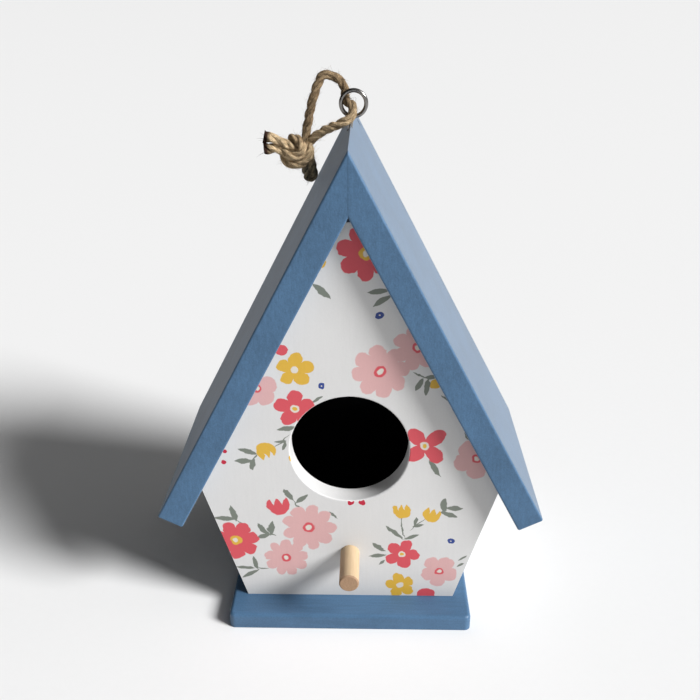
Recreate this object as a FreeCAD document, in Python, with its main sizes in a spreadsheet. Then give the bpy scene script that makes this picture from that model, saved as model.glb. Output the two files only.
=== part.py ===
import FreeCAD, Part
import math
import os

import Sketcher

# A gabled birdhouse of sawn boards with a twine hanger, in millimetres.
# Origin: centre of the base's underside. +Z is up, -Y is the front, +X is the right side seen from the front.
# Driving dimensions, one row of the sheet each.
DIMENSIONS = {
    "base_width": 81,
    "base_depth": 87,
    "base_thickness": 5.5,
    "base_corner_radius": 2,
    "base_edge_radius": 1.3,
    "body_depth": 66,
    "panel_thickness": 7,
    "foot_half_width": 35.2,
    "side_lean": 17,
    "wall_thickness": 7,
    "apex_height": 158.9,
    "roof_half_angle": 27.8,
    "roof_thickness": 8.8,
    "roof_slope_length": 134,
    "roof_depth": 76,
    "roof_edge_radius": 0.7,
    "peak_half_width": 1.2,
    "entrance_diameter": 38,
    "entrance_height": 63.2,
    "entrance_edge_radius": 0.5,
    "perch_diameter": 6.4,
    "perch_height": 23.3,
    "perch_reach": 16,
    "perch_chamfer": 0.4,
    "brad_diameter": 1.2,
    "brad_length": 20,
    "brad_set": 1,
    "roof_brad_first": 45,
    "roof_brad_pitch": 26,
    "base_brad_spacing": 44,
    "wall_brad_low": 16,
    "wall_brad_pitch": 24,
    "ridge_brad_offset": 2.1,
    "ridge_brad_set": 1.5,
    "eye_wire": 1.3,
    "eye_outer_diameter": 9,
    "eye_rise": 6.65,
    "eye_bend_radius": 1.2,
    "eye_gap_angle": 36,
    "eye_lean": 7.8,
    "screw_length": 10,
    "screw_root_diameter": 1.3,
    "screw_crest_diameter": 2,
    "screw_pitch": 0.9,
    "screw_tip": 1.6,
    "screw_plain_length": 1,
    "shank_top_depth": 0.5,
    "eye_neck_depth": 1,
    "twine_diameter": 2.7,
    "knot_length": 11.4,
    "knot_width": 10.4,
    "knot_depth": 8.6,
    "bight_width": 5.2,
    "bight_depth": 3.2,
}

# Places of the knot's middle and the centre line of each stretch of twine outside it. The loop leaves the knot,
# climbs, passes behind the eye's upper left, comes forward through it and goes back in front of its lower left.
KNOT_CENTRE = (-17.1, 2.0, 151.1)
LOOP_ROUTE = [
    (-14.2, 1.6, 154.6),
    (-13.4, 1.2, 158.2),
    (-12.6, 0.8, 162.6),
    (-11.4, 0.6, 167.0),
    (-10.2, 0.6, 171.0),
    (-8.6, 1.0, 174.6),
    (-5.4, 1.9, 174.2),
    (-2.9, 3.2, 171.5),
    (-0.9, 3.4, 168.3),
    (0.5, 1.7, 165.7),
    (1.2, -1.0, 164.1),
    (0.3, -3.4, 161.7),
    (-2.6, -3.3, 160.1),
    (-6.4, -2.0, 158.5),
    (-10.0, -0.4, 156.4),
    (-13.2, 1.0, 153.6),
]
TAIL_ROUTES = [
    [(-20.2, 1.0, 152.6), (-23.0, 0.6, 154.2), (-26.0, 0.2, 155.3)],
    [(-20.6, 1.4, 150.2), (-23.4, 1.2, 151.4), (-26.4, 0.8, 151.9)],
]
BIGHT_ENDS = ((-13.2, 4.0, 149.2), (-14.0, 13.0, 139.0))

# The share of the shorter run that each bend of the twine takes up.
BEND_SHARE = 0.45
# An edge lies on a plane if it is this near to it.
NEAR = 0.01

doc = FreeCAD.newDocument("Birdhouse")
sheet = doc.addObject("Spreadsheet::Sheet", "Dims")
for row, (alias, value) in enumerate(DIMENSIONS.items(), start=1):
    sheet.set(f"A{row}", alias)
    sheet.set(f"B{row}", str(value))
    sheet.setAlias(f"B{row}", alias)
doc.recompute()

# Places worked out from the sheet, as expressions.
FRONT = "-Dims.body_depth / 2"
BACK = "Dims.body_depth / 2"
HALF_ANGLE = "Dims.roof_half_angle"
INNER_APEX = f"(Dims.apex_height - Dims.roof_thickness / sin({HALF_ANGLE}))"
SIDE_SLOPE = "tan(Dims.side_lean)"
SIDE_AT_ZERO = f"(Dims.foot_half_width - Dims.base_thickness * {SIDE_SLOPE})"
SHOULDER_Z = f"(({INNER_APEX} - {SIDE_AT_ZERO} / tan({HALF_ANGLE})) / (1 + {SIDE_SLOPE} / tan({HALF_ANGLE})))"
SHOULDER_X = f"({SIDE_AT_ZERO} + {SIDE_SLOPE} * {SHOULDER_Z})"
WALL_AT_ZERO = f"({SIDE_AT_ZERO} - Dims.wall_thickness / cos(Dims.side_lean))"
WALL_TOP_Z = f"(({INNER_APEX} - {WALL_AT_ZERO} / tan({HALF_ANGLE})) / (1 + {SIDE_SLOPE} / tan({HALF_ANGLE})))"
WALL_TOP_X = f"({WALL_AT_ZERO} + {SIDE_SLOPE} * {WALL_TOP_Z})"
RIDGE_BRAD_SURFACE = f"(Dims.apex_height - Dims.ridge_brad_offset / tan({HALF_ANGLE}))"


def size(alias):
    """The number in the sheet's cell of that alias."""
    return float(getattr(sheet, alias))


def origin_plane(body, role):
    """The body's own origin plane of that role, such as XZ_Plane."""
    return next(feature for feature in body.Origin.OriginFeatures if feature.Role == role)


def new_sketch(body, name, role):
    """An empty sketch on one of the body's origin planes."""
    sketch = body.newObject("Sketcher::SketchObject", name)
    sketch.AttachmentSupport = [(origin_plane(body, role), "")]
    sketch.MapMode = "FlatFace"
    return sketch


def pin_point(sketch, geometry, vertex, label, across, up):
    """Ties one sketch point to two expressions, measured from the sketch's origin."""
    for kind, expression in (("DistanceX", across), ("DistanceY", up)):
        index = sketch.addConstraint(Sketcher.Constraint(kind, -1, 1, geometry, vertex, 1.0))
        sketch.renameConstraint(index, f"{label}_{kind}")
        sketch.setExpression(f"Constraints.{label}_{kind}", expression)


def polygon_sketch(body, name, role, corners):
    """A closed outline whose corners, in order, are pairs of expressions."""
    sketch = new_sketch(body, name, role)
    count = len(corners)
    rough = [FreeCAD.Vector(math.cos(2 * math.pi * i / count), math.sin(2 * math.pi * i / count), 0)
             for i in range(count)]
    for i in range(count):
        sketch.addGeometry(Part.LineSegment(rough[i], rough[(i + 1) % count]), False)
    for i in range(count):
        sketch.addConstraint(Sketcher.Constraint("Coincident", i, 2, (i + 1) % count, 1))
    for i, (across, up) in enumerate(corners):
        pin_point(sketch, i, 1, f"Corner{i}", across, up)
    return sketch


def circle_sketch(body, name, role, across, up, diameter):
    """One circle, its centre and diameter given as expressions."""
    sketch = new_sketch(body, name, role)
    sketch.addGeometry(Part.Circle(FreeCAD.Vector(0, 1, 0), FreeCAD.Vector(0, 0, 1), 1.0), False)
    pin_point(sketch, 0, 3, "Centre", across, up)
    index = sketch.addConstraint(Sketcher.Constraint("Diameter", 0, 2.0))
    sketch.renameConstraint(index, "Width")
    sketch.setExpression("Constraints.Width", diameter)
    return sketch


def pad(body, name, sketch, length, symmetric=False):
    """The sketch drawn out along its normal, or both ways from its plane."""
    feature = body.newObject("PartDesign::Pad", name)
    feature.Profile = sketch
    feature.setExpression("Length", length)
    feature.SideType = "Symmetric" if symmetric else "One side"
    doc.recompute()
    return feature


def through_pocket(body, name, sketch):
    """A hole right through the body, both ways from the sketch's plane."""
    before = body.Shape.Volume
    feature = body.newObject("PartDesign::Pocket", name)
    feature.Profile = sketch
    feature.Type = "ThroughAll"
    feature.SideType = "Symmetric"
    doc.recompute()
    if body.Shape.Volume >= before:
        raise RuntimeError(f"{name} cuts nothing")
    return feature


def dress(body, name, kind, base, wanted, alias):
    """A fillet or chamfer of the sheet's size on every edge of base that wanted(edge) picks."""
    edges = [f"Edge{i}" for i, edge in enumerate(base.Shape.Edges, start=1) if wanted(edge)]
    feature = body.newObject(f"PartDesign::{kind}", name)
    feature.Base = (base, edges)
    feature.setExpression("Radius" if kind == "Fillet" else "Size", f"Dims.{alias}")
    doc.recompute()
    return feature


def new_body(label):
    """A body with its own label."""
    body = doc.addObject("PartDesign::Body", label.title().replace("_", ""))
    body.Label = label
    return body


def gable_panel(name, place):
    """The five-sided end panel, its front face at the expression place, its peak clipped to a small flat."""
    body = new_body(name)
    peak_z = f"({INNER_APEX} - Dims.peak_half_width / tan({HALF_ANGLE}))"
    corners = [
        ("-Dims.foot_half_width", "Dims.base_thickness"),
        ("Dims.foot_half_width", "Dims.base_thickness"),
        (SHOULDER_X, SHOULDER_Z),
        ("Dims.peak_half_width", peak_z),
        ("-Dims.peak_half_width", peak_z),
        (f"-{SHOULDER_X}", SHOULDER_Z),
    ]
    outline = polygon_sketch(body, f"{name}_outline", "XZ_Plane", corners)
    pad(body, f"{name}_board", outline, "Dims.panel_thickness")
    body.setExpression("Placement.Base.y", f"{place} + Dims.panel_thickness")
    return body


def front_panel_blank():
    """The front panel with its entrance hole and the hole for the perch."""
    body = gable_panel("front_panel_blank", FRONT)
    entrance = circle_sketch(body, "entrance_circle", "XZ_Plane", "0", "Dims.entrance_height", "Dims.entrance_diameter")
    through_pocket(body, "entrance_hole", entrance)
    perch = circle_sketch(body, "perch_circle", "XZ_Plane", "0", "Dims.perch_height", "Dims.perch_diameter")
    holes = through_pocket(body, "perch_hole", perch)
    entrance_circumference = math.pi * size("entrance_diameter")
    front_plane = -size("panel_thickness")

    def is_front_rim(edge):
        on_front = abs(edge.CenterOfMass.y - front_plane) < NEAR
        return on_front and abs(edge.Length - entrance_circumference) < NEAR

    dress(body, "entrance_edge", "Fillet", holes, is_front_rim, "entrance_edge_radius")
    return body


def side_wall_blank(name, side):
    """One leaning side wall, flush with the panels' edges, its top cut to the roof. side is -1 left, 1 right."""
    body = new_body(name)
    corners = [
        (f"{side} * Dims.foot_half_width", "Dims.base_thickness"),
        (f"{side} * {SHOULDER_X}", SHOULDER_Z),
        (f"{side} * {WALL_TOP_X}", WALL_TOP_Z),
        (f"{side} * ({WALL_AT_ZERO} + {SIDE_SLOPE} * Dims.base_thickness)", "Dims.base_thickness"),
    ]
    outline = polygon_sketch(body, f"{name}_outline", "XZ_Plane", corners)
    pad(body, f"{name}_board", outline, "Dims.body_depth - 2 * Dims.panel_thickness", symmetric=True)
    return body


def roof_board_blank(name, side):
    """One roof board, mitred at the ridge and square at the eave. side is -1 left, 1 right."""
    body = new_body(name)
    eave_x = f"Dims.roof_slope_length * sin({HALF_ANGLE})"
    eave_z = f"Dims.apex_height - Dims.roof_slope_length * cos({HALF_ANGLE})"
    corners = [
        ("0", "Dims.apex_height"),
        (f"{side} * {eave_x}", eave_z),
        (f"{side} * ({eave_x} - Dims.roof_thickness * cos({HALF_ANGLE}))",
         f"{eave_z} - Dims.roof_thickness * sin({HALF_ANGLE})"),
        ("0", INNER_APEX),
    ]
    outline = polygon_sketch(body, f"{name}_outline", "XZ_Plane", corners)
    board = pad(body, f"{name}_board", outline, "Dims.roof_depth", symmetric=True)

    def is_off_the_ridge(edge):
        return abs(edge.CenterOfMass.x) > NEAR

    dress(body, f"{name}_edges", "Fillet", board, is_off_the_ridge, "roof_edge_radius")
    return body


def base_blank():
    """The flat base, its corners and upper edges rounded."""
    body = new_body("base_blank")
    corners = [
        ("-Dims.base_width / 2", "-Dims.base_depth / 2"),
        ("Dims.base_width / 2", "-Dims.base_depth / 2"),
        ("Dims.base_width / 2", "Dims.base_depth / 2"),
        ("-Dims.base_width / 2", "Dims.base_depth / 2"),
    ]
    outline = polygon_sketch(body, "base_outline", "XY_Plane", corners)
    board = pad(body, "base_board_pad", outline, "Dims.base_thickness")
    rounded = dress(body, "base_corners", "Fillet", board,
                    lambda edge: edge.BoundBox.ZLength > NEAR, "base_corner_radius")
    dress(body, "base_edges", "Fillet", rounded,
          lambda edge: edge.BoundBox.ZMin > size("base_thickness") - NEAR, "base_edge_radius")
    return body


def perch_dowel():
    """The round perch, flush with the panel's inner face, its front end slightly chamfered."""
    body = new_body("perch_dowel")
    circle = circle_sketch(body, "dowel_circle", "XZ_Plane", "0", "Dims.perch_height", "Dims.perch_diameter")
    rod = pad(body, "dowel_rod", circle, "Dims.panel_thickness + Dims.perch_reach")
    front_end = -size("panel_thickness") - size("perch_reach")
    dress(body, "dowel_end", "Chamfer", rod,
          lambda edge: edge.BoundBox.YMax < front_end + NEAR, "perch_chamfer")
    body.setExpression("Placement.Base.y", f"{FRONT} + Dims.panel_thickness")
    return body


def brad(name, place, axis, angle):
    """One headless brad. place is its outer end, as three expressions; it points down, then turns about axis."""
    pin = doc.addObject("Part::Cylinder", name)
    pin.setExpression("Radius", "Dims.brad_diameter / 2")
    pin.setExpression("Height", "Dims.brad_length")
    pin.Placement = FreeCAD.Placement(FreeCAD.Vector(), FreeCAD.Rotation(FreeCAD.Vector(*axis), 1))
    pin.setExpression("Placement.Rotation.Angle", angle)
    for letter, expression in zip("xyz", place):
        pin.setExpression(f"Placement.Base.{letter}", expression)
    return pin


def brad_group(label, pins):
    """Brads of one kind as one sub-part of separate solids."""
    group = doc.addObject("Part::Compound", label.title().replace("_", ""))
    group.Label = label
    group.Links = pins
    return group


def roof_brads(label, side):
    """Three brads square to the slope into the edge of each end panel."""
    pins = []
    for end, name in ((-1, "front"), (1, "back")):
        for step in range(3):
            along = f"(Dims.roof_brad_first + {step} * Dims.roof_brad_pitch)"
            place = (
                f"{side} * ({along} * sin({HALF_ANGLE}) - Dims.brad_set * cos({HALF_ANGLE}))",
                f"{end} * (Dims.body_depth - Dims.panel_thickness) / 2",
                f"Dims.apex_height - {along} * cos({HALF_ANGLE}) - Dims.brad_set * sin({HALF_ANGLE})",
            )
            pins.append(brad(f"{label}_{name}_{step}", place, (0, side, 0), f"-90 - {HALF_ANGLE}"))
    return brad_group(label, pins)


def wall_brads():
    """Two brads through the back panel into the end of each side wall."""
    pins = []
    for side in (-1, 1):
        for step in range(2):
            height = f"(Dims.wall_brad_low + {step} * Dims.wall_brad_pitch)"
            middle = f"({SIDE_AT_ZERO} - Dims.wall_thickness / cos(Dims.side_lean) / 2 + {SIDE_SLOPE} * {height})"
            place = (f"{side} * {middle}", f"{BACK} - Dims.brad_set", height)
            pins.append(brad(f"wall_brad_{'left' if side < 0 else 'right'}_{step}", place, (1, 0, 0), "90"))
    return brad_group("wall_brads", pins)


def base_brads():
    """Two brads up through the base into the foot of each end panel."""
    pins = []
    for end, name in ((-1, "front"), (1, "back")):
        for side in (-1, 1):
            place = (
                f"{side} * Dims.base_brad_spacing / 2",
                f"{end} * (Dims.body_depth - Dims.panel_thickness) / 2",
                "Dims.brad_set",
            )
            pins.append(brad(f"base_brad_{name}_{'left' if side < 0 else 'right'}", place, (1, 0, 0), "0"))
    return brad_group("base_brads", pins)


def ridge_brad():
    """The one brad down through the ridge into the back panel's peak, its set hole left open."""
    place = (
        "Dims.ridge_brad_offset",
        "(Dims.body_depth - Dims.panel_thickness) / 2",
        f"{RIDGE_BRAD_SURFACE} - Dims.ridge_brad_set - Dims.brad_length",
    )
    pin = brad("RidgeBrad", place, (1, 0, 0), "0")
    pin.Label = "ridge_brad"
    return pin


def ridge_brad_hole():
    """The open hole above the ridge brad, as a cutter that reaches out of the slope."""
    cutter = doc.addObject("Part::Cylinder", "RidgeBradHole")
    cutter.setExpression("Radius", "Dims.brad_diameter / 2")
    cutter.setExpression("Height", "Dims.brad_length")
    cutter.setExpression("Placement.Base.x", "Dims.ridge_brad_offset")
    cutter.setExpression("Placement.Base.y", "(Dims.body_depth - Dims.panel_thickness) / 2")
    cutter.setExpression("Placement.Base.z", f"{RIDGE_BRAD_SURFACE} - Dims.ridge_brad_set")
    return cutter


def screw_hole():
    """The screw eye's hole at its thread's root, as a cutter."""
    cutter = doc.addObject("Part::Cylinder", "ScrewHole")
    cutter.setExpression("Radius", "Dims.screw_root_diameter / 2")
    cutter.setExpression("Height", "2 * Dims.screw_length")
    cutter.Placement = FreeCAD.Placement(FreeCAD.Vector(), FreeCAD.Rotation(FreeCAD.Vector(0, 1, 0), 1))
    cutter.setExpression("Placement.Rotation.Angle", "Dims.eye_lean")
    cutter.setExpression("Placement.Base.x", "-Dims.screw_length * sin(Dims.eye_lean)")
    cutter.setExpression("Placement.Base.z", "Dims.apex_height - Dims.screw_length * cos(Dims.eye_lean)")
    return cutter


def drilled(label, blank, cutters):
    """The blank with the cutters' holes, as the finished sub-part."""
    tool = doc.addObject("Part::Compound", f"{label.title().replace('_', '')}Holes")
    tool.Links = cutters
    part = doc.addObject("Part::Cut", label.title().replace("_", ""))
    part.Base = blank
    part.Tool = tool
    part.Label = label
    return part


def screw_eye():
    """A wire eye: the ring almost closes on its neck, and the threaded shank goes down into the ridge."""
    wire = size("eye_wire") / 2
    ring = (size("eye_outer_diameter") - size("eye_wire")) / 2
    bend = size("eye_bend_radius")
    rise = size("eye_rise")
    bend_z = rise - math.sqrt((ring + bend) ** 2 - bend ** 2)
    join_angle = math.atan2(bend_z - rise, bend)
    end_angle = join_angle + 2 * math.pi - math.radians(size("eye_gap_angle"))

    def on_ring(angle):
        return FreeCAD.Vector(ring * math.cos(angle), 0, rise + ring * math.sin(angle))

    def on_bend(angle):
        return FreeCAD.Vector(bend + bend * math.cos(angle), 0, bend_z + bend * math.sin(angle))

    bend_end = math.pi + join_angle
    neck_foot = FreeCAD.Vector(0, 0, -size("eye_neck_depth"))
    neck = Part.LineSegment(neck_foot, on_bend(math.pi))
    turn = Part.Arc(on_bend(math.pi), on_bend((math.pi + bend_end) / 2), on_bend(bend_end))
    loop = Part.Arc(on_ring(join_angle), on_ring((join_angle + end_angle) / 2), on_ring(end_angle))
    path = Part.Wire([neck.toShape(), turn.toShape(), loop.toShape()])
    profile = Part.Wire([Part.makeCircle(wire, neck_foot, FreeCAD.Vector(0, 0, 1))])
    eye = path.makePipeShell([profile], True, True)

    root = size("screw_root_diameter") / 2
    crest = size("screw_crest_diameter") / 2
    pitch = size("screw_pitch")
    tip_z = -size("screw_length")
    thread_z = tip_z + size("screw_tip")
    top_z = -size("shank_top_depth")
    count = int((-size("screw_plain_length") - thread_z) / pitch)
    outline = [FreeCAD.Vector(0, 0, tip_z), FreeCAD.Vector(root, 0, thread_z)]
    for i in range(count):
        outline.append(FreeCAD.Vector(crest, 0, thread_z + (i + 0.5) * pitch))
        outline.append(FreeCAD.Vector(root, 0, thread_z + (i + 1) * pitch))
    outline += [FreeCAD.Vector(root, 0, top_z), FreeCAD.Vector(0, 0, top_z), outline[0]]
    shank = Part.Face(Part.makePolygon(outline)).revolve(FreeCAD.Vector(), FreeCAD.Vector(0, 0, 1), 360)

    part = doc.addObject("Part::Feature", "ScrewEye")
    part.Label = "screw_eye"
    part.Shape = eye.fuse(shank).removeSplitter()
    part.Placement = FreeCAD.Placement(
        FreeCAD.Vector(0, 0, size("apex_height")), FreeCAD.Rotation(FreeCAD.Vector(0, 1, 0), size("eye_lean")))
    return part


def cord_solid(label, route):
    """A round cord along the route: straight runs joined by tangent arcs as large as the runs allow."""
    radius = size("twine_diameter") / 2
    points = [FreeCAD.Vector(*point) for point in route]
    edges = []
    bends = []
    start = points[0]
    for before, corner, after in zip(points, points[1:], points[2:]):
        back = before - corner
        ahead = after - corner
        half_turn = (math.pi - back.getAngle(ahead)) / 2
        cut = BEND_SHARE * min(back.Length, ahead.Length)
        back.normalize()
        ahead.normalize()
        bend = cut / math.tan(half_turn)
        bends.append(round(bend, 1))
        middle = (back + ahead).normalize() * (bend / math.cos(half_turn) - bend)
        edges.append(Part.LineSegment(start, corner + back * cut).toShape())
        edges.append(Part.Arc(corner + back * cut, corner + middle, corner + ahead * cut).toShape())
        start = corner + ahead * cut
    edges.append(Part.LineSegment(start, points[-1]).toShape())
    path = Part.Wire(edges)
    section = Part.makeCircle(radius, points[0], points[1] - points[0])
    solid = path.makePipeShell([Part.Wire([section])], True, True)
    expected = math.pi * radius ** 2 * path.Length
    print(f"{label}: length {path.Length:.1f}, radii {bends}, volume {solid.Volume / expected:.3f} of expected")
    return solid


def twine_part(label, solids):
    """A sub-part of twine, one solid or a group."""
    part = doc.addObject("Part::Feature", label.title().replace("_", ""))
    part.Label = label
    part.Shape = solids[0] if len(solids) == 1 else Part.makeCompound(solids)
    return part


def twine_knot():
    """The knot's outer shape, a plain ellipsoid."""
    knot = doc.addObject("Part::Ellipsoid", "TwineKnot")
    knot.Label = "twine_knot"
    knot.setExpression("Radius1", "Dims.knot_width / 2")
    knot.setExpression("Radius2", "Dims.knot_length / 2")
    knot.setExpression("Radius3", "Dims.knot_depth / 2")
    knot.Placement = FreeCAD.Placement(FreeCAD.Vector(*KNOT_CENTRE), FreeCAD.Rotation())
    return knot


def twine_bight():
    """The knot's loose turn, which trails down to the left slope, as one plain ellipsoid."""
    top, tip = (FreeCAD.Vector(*end) for end in BIGHT_ENDS)
    bight = doc.addObject("Part::Ellipsoid", "TwineBight")
    bight.Label = "twine_bight"
    bight.Radius1 = (tip - top).Length / 2
    bight.setExpression("Radius2", "Dims.bight_width / 2")
    bight.setExpression("Radius3", "Dims.bight_depth / 2")
    bight.Placement = FreeCAD.Placement((top + tip) / 2, FreeCAD.Rotation(FreeCAD.Vector(0, 0, -1), tip - top))
    return bight


def failed(item):
    """True where an object did not compute."""
    return "Invalid" in item.State or "Error" in item.State


left_roof_brads = roof_brads("left_roof_brads", -1)
right_roof_brads = roof_brads("right_roof_brads", 1)
wall_pins = wall_brads()
base_pins = base_brads()
ridge_pin = ridge_brad()
doc.recompute()
all_brads = [left_roof_brads, right_roof_brads, wall_pins, base_pins, ridge_pin]
ridge_cutters = [ridge_brad_hole(), screw_hole()]

parts = [
    drilled("front_panel", front_panel_blank(), all_brads),
    drilled("back_panel", gable_panel("back_panel_blank", f"{BACK} - Dims.panel_thickness"), all_brads),
    drilled("left_wall", side_wall_blank("left_wall_blank", -1), all_brads),
    drilled("right_wall", side_wall_blank("right_wall_blank", 1), all_brads),
    drilled("left_roof_board", roof_board_blank("left_roof_blank", -1), all_brads + ridge_cutters),
    drilled("right_roof_board", roof_board_blank("right_roof_blank", 1), all_brads + ridge_cutters),
    drilled("base_board", base_blank(), all_brads),
    perch_dowel(),
    screw_eye(),
    left_roof_brads,
    right_roof_brads,
    wall_pins,
    base_pins,
    ridge_pin,
    twine_part("twine_loop", [cord_solid("twine_loop", LOOP_ROUTE)]),
    twine_part("twine_tails", [cord_solid("twine_tail", route) for route in TAIL_ROUTES]),
    twine_knot(),
    twine_bight(),
]
doc.recompute()

for item in doc.Objects:
    if failed(item):
        raise RuntimeError(f"{item.Label} did not compute: {item.State}")
for part in parts:
    if part.Shape.isNull() or not part.Shape.isValid():
        raise RuntimeError(f"{part.Label} has no valid shape")

os.makedirs("parts", exist_ok=True)
for part in parts:
    part.Shape.exportStep(f"parts/{part.Label}.step")
    box = part.Shape.BoundBox
    print(f"{part.Label}: {len(part.Shape.Solids)} solid(s), {part.Shape.Volume:.0f} mm3, "
          f"x {box.XMin:.1f}..{box.XMax:.1f}, y {box.YMin:.1f}..{box.YMax:.1f}, z {box.ZMin:.1f}..{box.ZMax:.1f}")
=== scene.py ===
import math
import random

import bpy
from mathutils import Matrix, Vector, noise


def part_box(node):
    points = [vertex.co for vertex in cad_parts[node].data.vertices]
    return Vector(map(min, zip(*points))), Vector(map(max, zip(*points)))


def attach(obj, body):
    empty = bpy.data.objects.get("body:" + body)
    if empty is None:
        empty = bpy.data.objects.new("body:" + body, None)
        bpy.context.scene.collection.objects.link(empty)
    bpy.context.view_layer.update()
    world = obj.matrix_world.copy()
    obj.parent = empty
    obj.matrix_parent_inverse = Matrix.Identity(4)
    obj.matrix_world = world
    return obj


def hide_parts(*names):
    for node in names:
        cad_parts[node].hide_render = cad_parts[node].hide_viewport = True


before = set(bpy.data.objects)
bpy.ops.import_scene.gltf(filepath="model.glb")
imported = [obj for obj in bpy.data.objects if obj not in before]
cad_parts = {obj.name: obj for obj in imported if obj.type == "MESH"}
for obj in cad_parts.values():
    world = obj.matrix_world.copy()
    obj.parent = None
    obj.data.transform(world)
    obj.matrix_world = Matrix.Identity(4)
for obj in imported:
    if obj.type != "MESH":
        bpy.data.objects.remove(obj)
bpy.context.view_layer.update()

# The materials and the print are worked out in millimetres, and everything else in metres.
MM = 0.001
panel_low, panel_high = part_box("front_panel")
floor_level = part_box("base_board")[0].z - 0.1 * MM

# The camera stands in front of the house, level with the top of the loop, and looks down at it.
CAMERA_PLACE = Vector((0.0059, -0.2697, 0.2051))
CAMERA_YAW = 1.36
CAMERA_PITCH = 24.3
CAMERA_ROLL = -0.25
CAMERA_LENS = 44.4

# The sun's direction, strength and width in degrees, and the sky's strength from far left to far right.
KEY_DIRECTION = (0.76, -0.36, 0.56)
KEY_STRENGTH = 5.35
KEY_WIDTH = 20
SKY_LEFT = 0.02
SKY_RIGHT = 0.4

# The twine is one strand, and these are its route's points in metres, from one cut end to the other.
TWINE_DIAMETER = 2.7 * MM
UPPER_TAIL = [(-0.0269, 0.0002, 0.1556), (-0.0234, 0.0004, 0.1548), (-0.0202, 0.0004, 0.1532)]
THROUGH_KNOT = [(-0.0172, 0.0002, 0.1519), (-0.0150, 0.0014, 0.1530)]
LOOP = [
    (-0.0142, 0.0016, 0.1546),
    (-0.0134, 0.0012, 0.1582),
    (-0.0126, 0.0008, 0.1626),
    (-0.0114, 0.0006, 0.1670),
    (-0.0101, 0.0006, 0.1708),
    (-0.0084, 0.0010, 0.1740),
    (-0.0050, 0.0019, 0.1734),
    (-0.0025, 0.0032, 0.1710),
    (-0.0016, 0.0037, 0.1686),
    (-0.0018, 0.0025, 0.1659),
    (-0.0002, 0.0002, 0.1656),
    (0.0010, -0.0016, 0.1644),
    (0.0004, -0.0034, 0.1619),
    (-0.0026, -0.0033, 0.1601),
    (-0.0064, -0.0020, 0.1585),
    (-0.0100, -0.0004, 0.1564),
    (-0.0132, 0.0010, 0.1536),
]
FIRST_WRAP = [
    (-0.0125, -0.0004, 0.1516),
    (-0.0132, -0.0014, 0.1488),
    (-0.0162, -0.0018, 0.1470),
    (-0.0194, -0.0010, 0.1474),
    (-0.0214, 0.0020, 0.1486),
    (-0.0202, 0.0048, 0.1508),
    (-0.0166, 0.0054, 0.1516),
    (-0.0134, 0.0056, 0.1496),
]
LOOSE_TURN = [
    (-0.0128, 0.0062, 0.1468),
    (-0.0125, 0.0086, 0.1436),
    (-0.0123, 0.0114, 0.1410),
    (-0.0134, 0.0126, 0.1393),
    (-0.0147, 0.0116, 0.1408),
    (-0.0147, 0.0086, 0.1438),
    (-0.0152, 0.0056, 0.1472),
]
SECOND_WRAP = [
    (-0.0164, 0.0032, 0.1500),
    (-0.0186, 0.0034, 0.1526),
    (-0.0188, 0.0022, 0.1548),
    (-0.0164, 0.0004, 0.1548),
    (-0.0146, -0.0014, 0.1526),
    (-0.0154, -0.0022, 0.1500),
    (-0.0182, -0.0020, 0.1496),
]
LOWER_TAIL = [(-0.0206, 0.0006, 0.1505), (-0.0236, 0.0006, 0.1521), (-0.0270, 0.0004, 0.1517)]
TWINE_ROUTE = UPPER_TAIL + THROUGH_KNOT + LOOP + FIRST_WRAP + LOOSE_TURN + SECOND_WRAP + LOWER_TAIL

# Its three plies, how they twist and how uneven they are, how its cut ends fray, and its fuzz.
PLIES = 3
PLY_OFFSET = 0.25 * TWINE_DIAMETER
PLY_RADIUS = 0.29 * TWINE_DIAMETER
PLY_SIDES = 14
TWIST_LENGTH = 12 * MM
TWIST_SLACK = 3 * MM
SLACK_WAVE = 9 * MM
THICKNESS_CHANGE = 0.12
THICKNESS_WAVE = 2.5 * MM
TIP_LENGTH = 5 * MM
TIP_FLARE = 0.5
HAIRS = 1200
HAIR_STEPS = 4
HAIR_SIDES = 3
# Darker stretches of the twine, with soft edges, in millimetres: the middle, measured from the upper cut end,
# half the length, and the tint. The second is painted shade on the loose turn that hangs behind the roof; the
# first and third make the twine browner.
STRETCH_EDGE = 5
TONE_AND_SHADE_STRETCHES = [(35, 20, (0.42, 0.39, 0.37)), (112, 14, (0.34, 0.38, 0.40)), (133, 2, (0.5, 0.45, 0.42))]

# Colours of the twine, the bare wood and the metal.
JUTE_LIGHT = (0.92, 0.71, 0.44)
JUTE_DARK = (0.22, 0.13, 0.065)
FUZZ_LIGHT = (0.80, 0.64, 0.42)
FUZZ_DARK = (0.40, 0.28, 0.16)
TIP_DARK = (0.035, 0.015, 0.01)
WOOD_LIGHT = (0.60, 0.46, 0.30)
WOOD_DARK = (0.43, 0.30, 0.17)
END_LIGHT = (0.46, 0.30, 0.19)
END_DARK = (0.22, 0.13, 0.07)
BRAD_STEEL = (0.30, 0.29, 0.28)
EYE_STEEL = (0.27, 0.26, 0.25)

# A point inside the nest cavity, in millimetres.
CAVITY_MIDDLE = (0, 0, 70)

# Paint and ink colours.
BLUE = (0.060, 0.130, 0.228)
WHITE = (0.61, 0.605, 0.60)
# Near-black painted shade for the faces that look into the nest cavity and for the nail hole.
PAINTED_SHADE = (0.005, 0.005, 0.010)
PAPER = (0.82, 0.82, 0.82)
CORAL = (0.58, 0.075, 0.095)
PINK = (0.61, 0.365, 0.36)
YELLOW = (0.62, 0.375, 0.045)
NAVY = (0.027, 0.055, 0.23)
RED = (0.45, 0.012, 0.04)
LEAF = (0.165, 0.185, 0.155)
PALE = (0.64, 0.60, 0.54)

# The print follows the one in the photograph, motif by motif. A scratch script turned points read off the
# photograph into places on the panel, and those places are in the three lists below, FLOWERS, BUDS and LEAVES.

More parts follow.
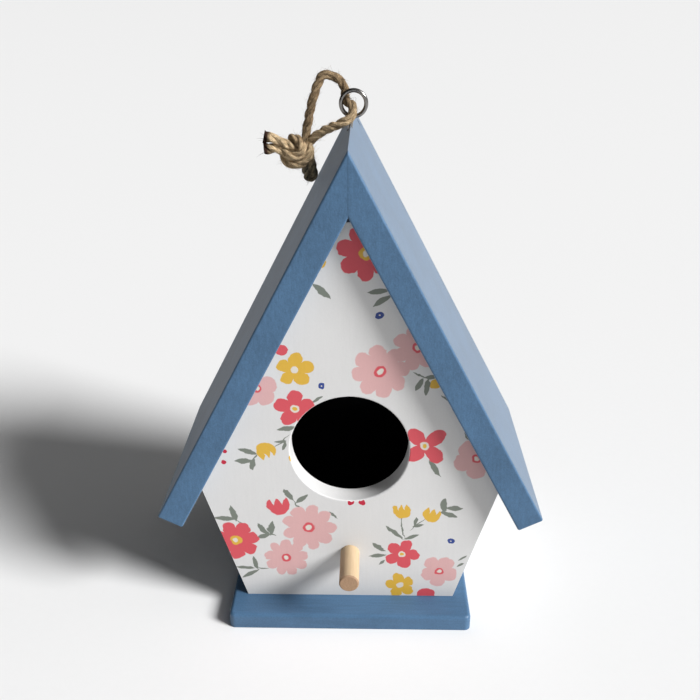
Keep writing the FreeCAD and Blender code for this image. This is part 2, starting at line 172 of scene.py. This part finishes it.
# The flowers: how far across from the panel's middle and up from the base's underside in millimetres, radius,
# number of petals, turn in degrees and kind.
FLOWERS = [
    (5, 128.5, 8.5, 7, 10, "daisy"),
    (-20.5, 98, 1.8, 1, 0, "berry"),
    (-28.5, 85, 6.5, 5, 20, "rose"),
    (20.5, 99, 7.5, 7, 0, "rose"),
    (9.5, 91, 9, 8, 8, "rose"),
    (-16.5, 91.5, 5.8, 5, 15, "buttercup"),
    (-17, 78, 6.5, 5, 18, "poppy"),
    (24, 65, 7.8, 4, 42, "star"),
    (40.5, 60.5, 7.5, 5, 55, "rose"),
    (-38, 28, 7.7, 7, 12, "daisy"),
    (-21.5, 21, 7.5, 9, 10, "rose"),
    (-13.5, 33.5, 9, 9, 0, "rose"),
    (17.5, 23, 5.9, 5, 68, "poppy"),
    (17, 10, 5.2, 5, 30, "buttercup"),
    (30, 16, 6.4, 5, 54, "rose"),
    (26, 5.5, 3.2, 1, 0, "berry"),
    (26.5, 87, 1.7, 1, 0, "yellow_bud"),
    (-8, 125.5, 1.5, 1, 0, "yellow_bud"),
    (-18.5, 60, 1.2, 1, 0, "yellow_bud"),
    (9, 109.5, 1.2, 1, 0, "blueberry"),
    (-8.5, 86, 1.1, 1, 0, "blueberry"),
    (34, 28.5, 1.1, 1, 0, "blueberry"),
    (0.5, 43.5, 1.1, 1, 0, "red_berry"),
    (4, 43.5, 1.1, 1, 0, "red_berry"),
    (-40, 62.5, 0.7, 1, 0, "red_berry"),
    (-40.5, 58.5, 0.8, 1, 0, "red_berry"),
]
# Petal colour, depth of the notches between petals, how pointed the petals are, ring colour and share of the
# radius, middle colour and share.
KINDS = {
    "daisy": (CORAL, 0.36, 0.55, YELLOW, 0.24, PALE, 0.11),
    "rose": (PINK, 0.34, 0.5, CORAL, 0.22, PALE, 0.11),
    "buttercup": (YELLOW, 0.52, 0.55, PALE, 0.21, PALE, 0.1),
    "poppy": (CORAL, 0.5, 0.55, PALE, 0.2, YELLOW, 0.11),
    "star": (CORAL, 0.7, 1.1, PALE, 0.2, YELLOW, 0.1),
    "berry": (CORAL, 0.0, 1.0, CORAL, 0.1, CORAL, 0.1),
    "yellow_bud": (YELLOW, 0.0, 1.0, YELLOW, 0.1, YELLOW, 0.1),
    "blueberry": (NAVY, 0.0, 1.0, NAVY, 0.3, PALE, 0.22),
    "red_berry": (RED, 0.0, 1.0, RED, 0.1, RED, 0.1),
}
# Half-open flowers: place, half width, turn in degrees and colour.
BUDS = [
    (-26.5, 62.5, 3.3, 205, YELLOW),
    (-23.5, 42, 3.7, 8, CORAL),
    (17, 40.5, 3, 5, YELLOW),
    (27, 39, 3, -20, YELLOW),
]
# Leaves and stems: the two ends in millimetres and the width.
LEAVES = [
    ((12, 117.5), (5, 116.5), 1.7),
    ((12.5, 116), (6.5, 112), 1.5),
    ((-10.5, 119.5), (-5.5, 114.5), 2.4),
    ((22.5, 89), (20, 84.5), 2),
    ((24, 89), (24, 83), 2),
    ((19.5, 91), (23, 89), 0.6),
    ((22.5, 89), (27, 89.5), 1.5),
    ((28.5, 83), (31, 81), 1),
    ((-11.5, 80), (-8.5, 82.5), 1),
    ((-12, 77.5), (-9, 79.5), 0.6),
    ((-22.5, 70.5), (-16.5, 71.5), 1.7),
    ((-24.5, 63.5), (-19, 69), 0.4),
    ((-20, 66.5), (-24, 66), 1),
    ((-20.5, 66.5), (-21.5, 63), 1.4),
    ((-29.5, 61.5), (-35.5, 63.5), 1.9),
    ((-31, 59), (-37, 59), 2),
    ((-31, 60), (-31, 55.5), 2.2),
    ((-31.5, 59.5), (-29.5, 61.5), 0.5),
    ((-18.5, 44), (-22, 48.5), 2),
    ((-18, 43), (-13.5, 46.5), 1.5),
    ((-19, 44.5), (-16, 39.5), 0.5),
    ((-37.5, 35.5), (-39.5, 42), 2.3),
    ((-37.5, 36.5), (-45, 37), 1.8),
    ((-38, 36.5), (-33, 33), 0.5),
    ((-27, 30), (-30.5, 35), 1.8),
    ((-26.5, 30.5), (-31, 29), 1.6),
    ((-26.5, 30), (-26, 36), 2.1),
    ((-27.5, 31), (-24, 30), 0.5),
    ((-32.5, 16.5), (-39, 17), 1.2),
    ((-31, 16), (-37, 12.5), 1.4),
    ((-31.5, 16), (-33, 21.5), 1.8),
    ((-32, 16.5), (-27.5, 16.5), 0.5),
    ((-7, 40), (-4, 37), 0.7),
    ((25, 60), (29.5, 53.5), 2.2),
    ((36, 70), (38.5, 67), 1.4),
    ((31, 40), (31, 45.5), 2.2),
    ((31.5, 41.5), (37, 41.5), 2),
    ((29.5, 40), (35.5, 38), 1.8),
    ((28, 39), (32, 41), 0.4),
    ((19.5, 32.5), (25, 37.5), 0.4),
    ((21.5, 34), (22, 38), 1.2),
    ((20.5, 34), (24.5, 35), 1),
    ((17, 38), (18, 29), 0.4),
    ((17.5, 29), (12, 34.5), 1.5),
    ((17.5, 29), (23, 31), 1.3),
    ((12, 24), (7, 27.5), 1.7),
    ((12.5, 22.5), (6, 22), 1.6),
    ((12, 20.5), (9.5, 18.5), 0.9),
    ((36.5, 20.5), (39, 22.5), 0.8),
    ((36, 18), (38.5, 19.5), 1),
]


# ---------------------------------------------------------------- camera, floor and lights

def add_camera():
    """The camera, turned by yaw, pitch and roll."""
    data = bpy.data.cameras.new("camera")
    data.lens = CAMERA_LENS
    data.clip_start = 0.01
    camera = bpy.data.objects.new("camera", data)
    turn = Matrix.Rotation(math.radians(CAMERA_YAW), 4, "Z")
    tilt = Matrix.Rotation(math.radians(90 - CAMERA_PITCH), 4, "X")
    roll = Matrix.Rotation(math.radians(CAMERA_ROLL), 4, "Z")
    camera.matrix_world = Matrix.Translation(CAMERA_PLACE) @ turn @ tilt @ roll
    bpy.context.collection.objects.link(camera)
    bpy.context.scene.camera = camera


def add_key_light():
    """A soft, distant light from the upper right."""
    data = bpy.data.lights.new("key_light", "SUN")
    data.energy = KEY_STRENGTH
    data.angle = math.radians(KEY_WIDTH)
    light = bpy.data.objects.new("key_light", data)
    light.rotation_euler = Vector(KEY_DIRECTION).to_track_quat("Z", "Y").to_euler()
    light.location = Vector(KEY_DIRECTION)
    bpy.context.collection.objects.link(light)


def add_sky():
    """A sky that is bright on the right and dim on the left."""
    world = bpy.data.worlds.new("world")
    world.use_nodes = True
    maker = NodeMaker(world.node_tree)
    direction = maker.node("ShaderNodeTexCoord").outputs["Generated"]
    sideways = maker.split(direction)[0]
    sky = world.node_tree.nodes["Background"]
    maker.put((1, 1, 1), sky.inputs["Color"])
    maker.put(maker.range(sideways, -0.3, 0.8, SKY_LEFT, SKY_RIGHT), sky.inputs["Strength"])
    bpy.context.scene.world = world


def add_floor():
    """A large pale floor just under the base."""
    reach = 8.0
    mesh = bpy.data.meshes.new("floor")
    corners = [(-reach, -reach, 0), (reach, -reach, 0), (reach, reach, 0), (-reach, reach, 0)]
    mesh.from_pydata(corners, [], [(0, 1, 2, 3)])
    floor = bpy.data.objects.new("floor", mesh)
    floor.location.z = floor_level
    bpy.context.collection.objects.link(floor)
    maker = MaterialMaker("floor_paper", roughness=0.9)
    tone = maker.range(maker.noise(maker.place(), 0.4), 0, 1, 0.99, 1.01)
    floor.data.materials.append(maker.finish(maker.vector("SCALE", PAPER, scale=tone)))


# ---------------------------------------------------------------- node helpers

class NodeMaker:
    """Short calls that add nodes to one tree. A value may be a number, a tuple or another node's output."""

    def __init__(self, tree):
        self.tree = tree

    def put(self, value, socket):
        """A link if value is an output, or else the socket's own value."""
        if isinstance(value, bpy.types.NodeSocket):
            self.tree.links.new(value, socket)
        elif socket.type == "RGBA":
            socket.default_value = (*value, 1)
        else:
            socket.default_value = value

    def node(self, kind, values=(), **settings):
        """A node with its first inputs filled in order."""
        made = self.tree.nodes.new(kind)
        for key, setting in settings.items():
            setattr(made, key, setting)
        for value, socket in zip(values, made.inputs):
            self.put(value, socket)
        return made

    def math(self, operation, *values, clamp=False):
        return self.node("ShaderNodeMath", values, operation=operation, use_clamp=clamp).outputs[0]

    def vector(self, operation, *values, scale=None):
        """A vector operation. Its result is a number for LENGTH and DOT_PRODUCT."""
        made = self.node("ShaderNodeVectorMath", values, operation=operation)
        if scale is not None:
            self.put(scale, made.inputs["Scale"])
        return made.outputs["Value" if operation in ("LENGTH", "DOT_PRODUCT") else "Vector"]

    def split(self, vector):
        return self.node("ShaderNodeSeparateXYZ", [vector]).outputs

    def join(self, x, y, z):
        return self.node("ShaderNodeCombineXYZ", [x, y, z]).outputs[0]

    def noise(self, vector, scale, detail=3.0, roughness=0.5):
        """Soft noise from 0 to 1."""
        made = self.node("ShaderNodeTexNoise")
        self.put(vector, made.inputs["Vector"])
        made.inputs["Scale"].default_value = scale
        made.inputs["Detail"].default_value = detail
        made.inputs["Roughness"].default_value = roughness
        return made.outputs["Fac"]

    def mix(self, factor, first, second):
        """first where factor is 0 and second where it is 1. The colours are inputs 6 and 7 and output 2."""
        made = self.node("ShaderNodeMix", [factor], data_type="RGBA")
        self.put(first, made.inputs[6])
        self.put(second, made.inputs[7])
        return made.outputs[2]

    def range(self, value, low, high, to_low=0.0, to_high=1.0):
        """value carried from low..high to to_low..to_high, held at the ends."""
        return self.node("ShaderNodeMapRange", [value, low, high, to_low, to_high]).outputs[0]

    def seen_from(self, given):
        """The place as a motif sees it: 1 along and 1 across at its ends. given holds the motif's inputs."""
        offset = self.vector("SUBTRACT", given["Place"], given["Centre"])
        along = self.vector("DOT_PRODUCT", offset, given["Along"])
        across = self.vector("DOT_PRODUCT", offset, given["Across"])
        return along, across


class MaterialMaker(NodeMaker):
    """A node material with its surface shader."""

    def __init__(self, name, roughness=0.5, metallic=0.0, specular=0.5):
        self.material = bpy.data.materials.new(name)
        self.material.use_nodes = True
        super().__init__(self.material.node_tree)
        self.surface = self.tree.nodes["Principled BSDF"]
        self.surface.inputs["Roughness"].default_value = roughness
        self.surface.inputs["Metallic"].default_value = metallic
        self.surface.inputs["Specular IOR Level"].default_value = specular

    def place(self):
        """The point on the object, in millimetres of the row frame."""
        coordinates = self.node("ShaderNodeTexCoord").outputs["Object"]
        return self.vector("SCALE", coordinates, scale=1 / MM)

    def facing(self):
        """The surface's direction in the row frame."""
        return self.node("ShaderNodeTexCoord").outputs["Normal"]

    def bump(self, height, strength, distance):
        made = self.node("ShaderNodeBump")
        made.inputs["Strength"].default_value = strength
        made.inputs["Distance"].default_value = distance
        self.put(height, made.inputs["Height"])
        return made.outputs[0]

    def finish(self, colour, normal=None, roughness=None):
        self.put(colour, self.surface.inputs["Base Color"])
        if normal is not None:
            self.put(normal, self.surface.inputs["Normal"])
        if roughness is not None:
            self.put(roughness, self.surface.inputs["Roughness"])
        return self.material


# ---------------------------------------------------------------- the printed flowers

def new_group(name, colours, numbers=()):
    """A node group that takes the named inputs, and where a motif lies, and gives one colour."""
    group = bpy.data.node_groups.new(name, "ShaderNodeTree")
    places = ("Place", "Centre", "Along", "Across")
    for names, kind in ((colours, "Color"), (places, "Vector"), (numbers, "Float")):
        for label in names:
            group.interface.new_socket(label, in_out="INPUT", socket_type=f"NodeSocket{kind}")
    group.interface.new_socket("Colour", in_out="OUTPUT", socket_type="NodeSocketColor")
    maker = NodeMaker(group)
    return group, maker, maker.node("NodeGroupInput").outputs, maker.node("NodeGroupOutput").inputs[0]


def stamped(maker, depth, sharpness):
    """1 where depth is above 0 and 0 where it isn't, with a narrow soft edge."""
    return maker.math("MULTIPLY_ADD", depth, sharpness, 0.5, clamp=True)


def flower_group():
    """A flower of rounded petals round a ring and a middle, painted over the colour under it."""
    group, maker, given, result = new_group("flower", ("Under", "Petal", "Ring", "Middle"),
                                            ("Petals", "Notch", "Point", "Ring size", "Middle size"))
    along, across = maker.seen_from(given)
    far = maker.vector("LENGTH", maker.join(along, across, 0.0))
    angle = maker.math("ARCTAN2", across, along)
    wave = maker.math("ABSOLUTE", maker.math("COSINE", maker.math("MULTIPLY", angle, given["Petals"])))
    lobes = maker.math("SUBTRACT", maker.math("POWER", wave, given["Point"]), 1.0)
    edge = maker.math("MULTIPLY_ADD", lobes, given["Notch"], 1.0)
    colour = maker.mix(stamped(maker, maker.math("SUBTRACT", edge, far), 30), given["Under"], given["Petal"])
    for size, paint in (("Ring size", "Ring"), ("Middle size", "Middle")):
        inner = stamped(maker, maker.math("SUBTRACT", given[size], far), 30)
        colour = maker.mix(inner, colour, given[paint])
    maker.put(colour, result)
    return group


def bud_group():
    """A half-open flower: a bowl with three fingers, painted over the colour under it."""
    group, maker, given, result = new_group("bud", ("Under", "Petal"))
    along, across = maker.seen_from(given)
    bowl = maker.math("SUBTRACT", 1.0, maker.vector("LENGTH", maker.join(along, across, 0.0)))
    wave = maker.math("ABSOLUTE", maker.math("COSINE", maker.math("MULTIPLY", along, 1.5 * math.pi)))
    fingers = maker.math("SUBTRACT", maker.math("MULTIPLY_ADD", wave, 0.7, 0.05), across)
    shape = stamped(maker, maker.math("MINIMUM", bowl, fingers), 15)
    maker.put(maker.mix(shape, given["Under"], given["Petal"]), result)
    return group


def leaf_group():
    """A leaf pointed at both ends, painted over the colour under it."""
    group, maker, given, result = new_group("leaf", ("Under",))
    along, across = maker.seen_from(given)
    side = maker.math("SUBTRACT", 1.0, maker.math("MULTIPLY", along, along))
    shape = stamped(maker, maker.math("SUBTRACT", side, maker.math("ABSOLUTE", across)), 6)
    maker.put(maker.mix(shape, given["Under"], LEAF), result)
    return group


def stamp(maker, group, under, place, centre, turn, half_length, half_width, **inputs):
    """One motif of the print, painted over the colour under it. turn is in radians."""
    made = maker.node("ShaderNodeGroup", node_tree=group)
    inputs["Under"] = under
    inputs["Place"] = place
    inputs["Centre"] = (*centre, 0)
    inputs["Along"] = (math.cos(turn) / half_length, math.sin(turn) / half_length, 0)
    inputs["Across"] = (-math.sin(turn) / half_width, math.cos(turn) / half_width, 0)
    for name, value in inputs.items():
        maker.put(value, made.inputs[name.replace("_", " ")])
    return made.outputs[0]


def print_colour(maker, under):
    """The flower print over the colour under it, drawn in the plane of the front panel."""
    x, _, z = maker.split(maker.place())
    flat = maker.join(x, z, 0.0)
    sway = maker.range(maker.noise(flat, 0.22, detail=2), 0, 1, -1.3, 1.3)
    tremble = maker.range(maker.noise(flat, 0.7, detail=1), 0, 1, -0.3, 0.3)
    flat = maker.vector("ADD", flat, maker.join(maker.math("ADD", sway, tremble), tremble, 0.0))
    colour = under
    leaf = leaf_group()
    for first, last, width in LEAVES:
        run = Vector(last) - Vector(first)
        centre = Vector(first) + 0.5 * run
        turn = math.atan2(run.y, run.x)
        colour = stamp(maker, leaf, colour, flat, centre, turn, 0.5 * run.length, 0.5 * width)
    flower = flower_group()
    for across, up, radius, petals, turn, kind in FLOWERS:
        petal, notch, point, ring, ring_size, middle, middle_size = KINDS[kind]
        colour = stamp(maker, flower, colour, flat, (across, up), math.radians(turn), radius, radius,
                       Petals=0.5 * petals, Notch=notch, Point=point, Petal=petal, Ring=ring, Middle=middle,
                       Ring_size=ring_size, Middle_size=middle_size)
    bud = bud_group()
    for across, up, half_width, turn, petal in BUDS:
        colour = stamp(maker, bud, colour, flat, (across, up), math.radians(turn), half_width, half_width,
                       Petal=petal)
    return colour


# ---------------------------------------------------------------- paint, wood and metal

def cavity_shade_mask(maker):
    """1 on the faces that look into the nest cavity, which get near-black painted shade for the unlit inside.
    """
    place = maker.place()
    inward = maker.vector("DOT_PRODUCT", maker.facing(), maker.vector("SUBTRACT", place, CAVITY_MIDDLE))
    depth = maker.math("ABSOLUTE", maker.split(place)[1])
    wall = (panel_high.y - panel_low.y) / MM
    cavity = abs(panel_low.y) / MM - wall + 0.05
    faces_middle = maker.math("LESS_THAN", inward, 0.0)
    return maker.math("MULTIPLY", faces_middle, maker.math("LESS_THAN", depth, cavity))


def board_texture(maker, grain):
    """Two patterns from 0 to 1: streaks of the wood's grain, and the fine stipple of rolled paint.
    grain holds the streaks' waves per millimetre along each axis."""
    place = maker.place()
    streaks = maker.noise(maker.vector("MULTIPLY", place, grain), 1.0, detail=4, roughness=0.6)
    return streaks, maker.noise(place, 2.2, detail=2)


def painted(maker, colour, streaks, stipple, mottle, relief):
    """The colour made slightly uneven, and the paint's relief in metres."""
    clouds = maker.noise(maker.place(), 0.06, detail=2)
    shade = maker.math("ADD", maker.math("ADD", streaks, stipple), clouds)
    tinted = maker.vector("SCALE", colour, scale=maker.range(shade, 0.9, 2.1, 1 - mottle, 1 + mottle))
    height = maker.math("MULTIPLY_ADD", streaks, 0.6, maker.math("MULTIPLY", stipple, 0.4))
    return tinted, maker.bump(height, 0.6, relief)


def ridge_joint(maker):
    """Up to 1 in the hairline where the two roof boards meet, which shows in the paint."""
    place = maker.place()
    from_joint = maker.math("ABSOLUTE", maker.split(place)[0])
    gaps = maker.range(maker.noise(place, 0.5, detail=2), 0.35, 0.55, 0.3, 1.0)
    return maker.math("MULTIPLY", maker.range(from_joint, 0.1, 0.3, 1.0, 0.0), gaps)


def nail_hole_shade(maker):
    """1 inside the open hole above the ridge brad, where the blue paint takes near-black painted shade."""
    low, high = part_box("ridge_brad")
    middle = 0.5 * (low + high) / MM
    radius = 0.5 * (high.x - low.x) / MM
    x, y, _ = maker.split(maker.place())
    offset = maker.vector("SUBTRACT", maker.join(x, y, 0.0), (middle.x, middle.y, 0))
    return maker.math("LESS_THAN", maker.vector("LENGTH", offset), 1.1 * radius)


def blue_paint(name, grain, roughness, glare_sheen=0.0, hollow=True):
    """Satin blue paint on a board, with a pale sheen of the given weight on its slope that stands in for
    glare. A hollow
    board closes the cavity: it also has the ridge's hairline joint and painted shade where it looks inward."""
    maker = MaterialMaker(name, roughness=roughness, specular=0.35)
    # A sheen on the slope only, which stands in for glare.
    slope = maker.math("GREATER_THAN", maker.math("ABSOLUTE", maker.split(maker.facing())[0]), 0.6)
    maker.put(maker.math("MULTIPLY", slope, glare_sheen), maker.surface.inputs["Sheen Weight"])
    streaks, stipple = board_texture(maker, grain)
    colour, normal = painted(maker, BLUE, streaks, stipple, 0.28, 0.15 * MM)
    if hollow:
        colour = maker.mix(ridge_joint(maker), colour, maker.vector("SCALE", colour, scale=0.75))
        # Painted shade: near black on the faces that look into the cavity and in the nail hole.
        dark = maker.math("MAXIMUM", cavity_shade_mask(maker), nail_hole_shade(maker))
        colour = maker.mix(dark, colour, PAINTED_SHADE)
    return maker.finish(colour, normal)


def white_paint(name, grain, printed=False):
    """Matt white paint on a board, with painted shade on the faces that look into the cavity, with or without
    the print.
    """
    maker = MaterialMaker(name, roughness=0.55, specular=0.35)
    streaks, stipple = board_texture(maker, grain)
    ground = WHITE
    if printed:
        front = maker.math("LESS_THAN", maker.split(maker.facing())[1], -0.8)
        ground = maker.mix(front, WHITE, print_colour(maker, WHITE))
    colour, normal = painted(maker, ground, streaks, stipple, 0.035, 0.06 * MM)
    # Painted shade: near black on the faces that look into the cavity.
    colour = maker.mix(cavity_shade_mask(maker), colour, PAINTED_SHADE)
    return maker.finish(colour, normal)


def bare_wood():
    """Pale wood with grain along the perch and darker, rougher end grain."""
    maker = MaterialMaker("bare_wood", roughness=0.65, specular=0.3)
    place = maker.place()
    grain = maker.noise(maker.vector("MULTIPLY", place, (1.6, 0.12, 1.6)), 1.0, detail=5, roughness=0.65)
    side = maker.mix(grain, WOOD_LIGHT, WOOD_DARK)
    fibres = maker.noise(maker.vector("MULTIPLY", place, (3.2, 0.5, 1.4)), 1.0, detail=4, roughness=0.7)
    end = maker.mix(fibres, END_LIGHT, END_DARK)
    is_end = maker.math("LESS_THAN", maker.split(maker.facing())[1], -0.6)
    height = maker.math("ADD", grain, maker.math("MULTIPLY", is_end, fibres))
    return maker.finish(maker.mix(is_end, side, end), maker.bump(height, 0.6, 0.15 * MM))


def steel(name, colour, roughness):
    """Plated steel wire with fine drawn lines and faint spots."""
    maker = MaterialMaker(name, roughness=roughness, metallic=1.0)
    place = maker.place()
    spots = maker.noise(place, 3.0, detail=3)
    lines = maker.noise(maker.vector("MULTIPLY", place, (2.0, 9.0, 2.0)), 1.0, detail=2)
    tinted = maker.vector("SCALE", colour, scale=maker.range(spots, 0.3, 0.7, 0.75, 1.1))
    rough = maker.range(spots, 0.3, 0.7, roughness, roughness + 0.15)
    return maker.finish(tinted, maker.bump(lines, 0.25, 0.02 * MM), rough)


# ---------------------------------------------------------------- the twine

def twine_line():
    """The points along the twine's smooth route, in metres."""
    curve = bpy.data.curves.new("twine_route", "CURVE")
    curve.dimensions = "3D"
    spline = curve.splines.new("NURBS")
    spline.points.add(len(TWINE_ROUTE) - 1)
    for point, place in zip(spline.points, TWINE_ROUTE):
        point.co = (*place, 1)
    spline.order_u = 3
    spline.use_endpoint_u = True
    spline.resolution_u = 12
    route = bpy.data.objects.new("twine_route", curve)
    mesh = bpy.data.meshes.new_from_object(route)
    points = [vertex.co.copy() for vertex in mesh.vertices]
    bpy.data.meshes.remove(mesh)
    bpy.data.curves.remove(curve)
    return points


def frames_along(points):
    """At each point: the distance along the line, the point, its direction and two sides square to that.
    The sides turn as little as they can from one point to the next."""
    frames = []
    side = Vector((0, 1, 0))
    along = 0.0
    for index, point in enumerate(points):
        before = points[max(index - 1, 0)]
        after = points[min(index + 1, len(points) - 1)]
        direction = (after - before).normalized()
        along += (point - before).length
        side = (side - side.dot(direction) * direction).normalized()
        frames.append((along, point, direction, side, direction.cross(side)))
    return frames


def tip_growth(along, length):
    """How much wider the twine is at a place than in its middle: its cut ends fray open."""
    from_tip = min(along, length - along)
    return 1 + TIP_FLARE * max(0.0, 1 - from_tip / TIP_LENGTH) ** 2


def add_sleeve(faces, start, lengths, sides):
    """The four-sided faces between rings of points that begin at the point numbered start."""
    for ring in range(lengths):
        for step in range(sides):
            first = start + ring * sides + step
            second = start + ring * sides + (step + 1) % sides
            faces.append((first, second, second + sides, first + sides))


def add_ply(frames, turn, vertices, faces, marks):
    """One twisted ply, closed at both ends. marks says how far round and along each of its points lies."""
    start = len(vertices)
    length = frames[-1][0]
    for along, point, _, side, lift in frames:
        slack = TWIST_SLACK * noise.noise(Vector((0, along / SLACK_WAVE, 0)))
        angle = turn + math.tau * (along + slack) / TWIST_LENGTH
        growth = tip_growth(along, length)
        uneven = 1 + THICKNESS_CHANGE * noise.noise(Vector((turn, along / THICKNESS_WAVE, 0)))
        out = math.cos(angle) * side + math.sin(angle) * lift
        across = math.cos(angle) * lift - math.sin(angle) * side
        centre = point + PLY_OFFSET * growth * out
        for step in range(PLY_SIDES):
            round_angle = math.tau * step / PLY_SIDES
            reach = PLY_RADIUS * growth * uneven
            vertices.append(centre + reach * (math.cos(round_angle) * out + math.sin(round_angle) * across))
            marks.append((turn + round_angle, along))
    add_sleeve(faces, start, len(frames) - 1, PLY_SIDES)
    faces.append([start + step for step in reversed(range(PLY_SIDES))])
    faces.append([len(vertices) - PLY_SIDES + step for step in range(PLY_SIDES)])


def new_piece(name, vertices, faces, material):
    """A smooth mesh object with one material."""
    mesh = bpy.data.meshes.new(name)
    mesh.from_pydata(vertices, [], faces)
    mesh.shade_smooth()
    mesh.materials.append(material)
    piece = bpy.data.objects.new(name, mesh)
    bpy.context.collection.objects.link(piece)
    return piece


def twine_material(name, light, dark, length):
    """Jute fibres that run along the plies, darker in stretches (painted shade on the loose turn, browner
    elsewhere) and dark at the cut ends.
    """
    maker = MaterialMaker(name, roughness=0.85, specular=0.15)
    lay = maker.node("ShaderNodeAttribute", attribute_name="lay").outputs["Vector"]
    along = maker.split(lay)[2]
    fibres = maker.noise(maker.vector("MULTIPLY", lay, (2.6, 2.6, 0.25)), 2.6, detail=4, roughness=0.75)
    patches = maker.noise(maker.place(), 0.7, detail=2)
    colour = maker.mix(maker.range(fibres, 0.40, 0.57), dark, light)
    colour = maker.vector("SCALE", colour, scale=maker.range(patches, 0.35, 0.7, 0.65, 1.25))
    # Darker stretches: painted shade on the loose turn, and browner tone on the others.
    for middle, half_length, stretch_tint in TONE_AND_SHADE_STRETCHES:
        away = maker.math("ABSOLUTE", maker.math("SUBTRACT", along, middle))
        inside = maker.range(away, half_length - STRETCH_EDGE, half_length + STRETCH_EDGE, 1.0, 0.0)
        colour = maker.mix(inside, colour, maker.vector("MULTIPLY", colour, stretch_tint))
    # Darker towards the cut ends, with a ragged edge.
    from_end = maker.math("MINIMUM", along, maker.math("SUBTRACT", length / MM, along))
    ragged = maker.math("MULTIPLY_ADD", fibres, 0.8, from_end)
    dark_tips = maker.range(ragged, 1.4, 2.5, 1.0, 0.0)
    colour = maker.mix(dark_tips, colour, TIP_DARK)
    return maker.finish(colour, maker.bump(fibres, 1.0, 0.45 * MM))


def lay_marks(mesh, marks):
    """Stores on each point the sine and cosine of its place round the ply, and how far along it is in mm."""
    attribute = mesh.attributes.new("lay", "FLOAT_VECTOR", "POINT")
    for entry, (turn, along) in zip(attribute.data, marks):
        entry.vector = (math.sin(turn), math.cos(turn), along / MM)


def add_fuzz(frames, material):
    """Fine stray fibres: thin bent hairs that leave the twine at a low angle."""
    chance = random.Random(7)
    vertices = []
    faces = []
    marks = []
    for _ in range(HAIRS):
        along, point, direction, side, lift = chance.choice(frames)
        angle = chance.uniform(0, math.tau)
        out = math.cos(angle) * side + math.sin(angle) * lift
        across = direction.cross(out)
        forward = direction * chance.choice((-1, 1))
        length = chance.uniform(0.8, 2.8) * MM
        lean = chance.uniform(0.1, 0.6)
        curl = chance.uniform(-0.5, 0.5)
        thickness = chance.uniform(0.03, 0.06) * MM
        start = len(vertices)
        for step in range(HAIR_STEPS + 1):
            share = step / HAIR_STEPS
            centre = (point + (0.46 * TWINE_DIAMETER + length * lean * share ** 1.5) * out
                      + length * share * (forward + curl * share * across))
            thin = thickness * (1 - 0.7 * share)
            for corner in range(HAIR_SIDES):
                round_angle = math.tau * corner / HAIR_SIDES
                toward = math.cos(round_angle) * out + math.sin(round_angle) * across
                vertices.append(centre + thin * toward)
                marks.append((angle, along))
        add_sleeve(faces, start, HAIR_STEPS, HAIR_SIDES)
    fuzz = new_piece("twine_fuzz", vertices, faces, material)
    lay_marks(fuzz.data, marks)
    return fuzz


def add_twine():
    """The hanging twine: one strand of three plies, knotted to itself through the eye, and its fuzz."""
    points = twine_line()
    frames = frames_along(points)
    length = frames[-1][0]
    vertices = []
    faces = []
    marks = []
    for ply in range(PLIES):
        add_ply(frames, math.tau * ply / PLIES, vertices, faces, marks)
    jute = twine_material("jute", JUTE_LIGHT, JUTE_DARK, length)
    twine = new_piece("twine_strand", vertices, faces, jute)
    lay_marks(twine.data, marks)
    fuzz = add_fuzz(frames, twine_material("jute_fuzz", FUZZ_LIGHT, FUZZ_DARK, length))
    for piece in (twine, fuzz):
        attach(piece, "hanger")
    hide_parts("twine_loop", "twine_knot", "twine_bight", "twine_tails")


def paint_nodes():
    """The materials of the pieces that keep their CAD shape."""
    along_ridge = (1.1, 0.1, 0.35)
    along_x = (0.08, 1.0, 1.0)
    along_y = (1.0, 0.08, 1.0)
    along_z = (1.0, 1.0, 0.08)
    brads = steel("brad_steel", BRAD_STEEL, 0.35)
    finishes = {
        "front_panel": white_paint("printed_panel", along_z, printed=True),
        "back_panel": white_paint("white_panel", along_z),
        "left_wall": white_paint("white_wall", along_y),
        "base_board": blue_paint("blue_base", along_x, 0.45, hollow=False),
        # Both roof boards carry the same paint; their roughness and slope sheen differ only to match how the
        # light falls on each slope.
        "left_roof_board": blue_paint("blue_roof_left", along_ridge, 0.6, glare_sheen=0.25),
        "right_roof_board": blue_paint("blue_roof_right", along_ridge, 0.5, glare_sheen=0.5),
        "perch_dowel": bare_wood(),
        "screw_eye": steel("eye_steel", EYE_STEEL, 0.16),
        "ridge_brad": brads,
    }
    finishes["right_wall"] = finishes["left_wall"]
    for name in ("left_roof_brads", "right_roof_brads", "wall_brads", "base_brads"):
        finishes[name] = brads
    for name, material in finishes.items():
        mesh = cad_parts[name].data
        mesh.materials.clear()
        mesh.materials.append(material)


add_camera()
add_twine()
paint_nodes()
add_key_light()
add_sky()
add_floor()
bpy.context.scene.view_settings.view_transform = "Standard"
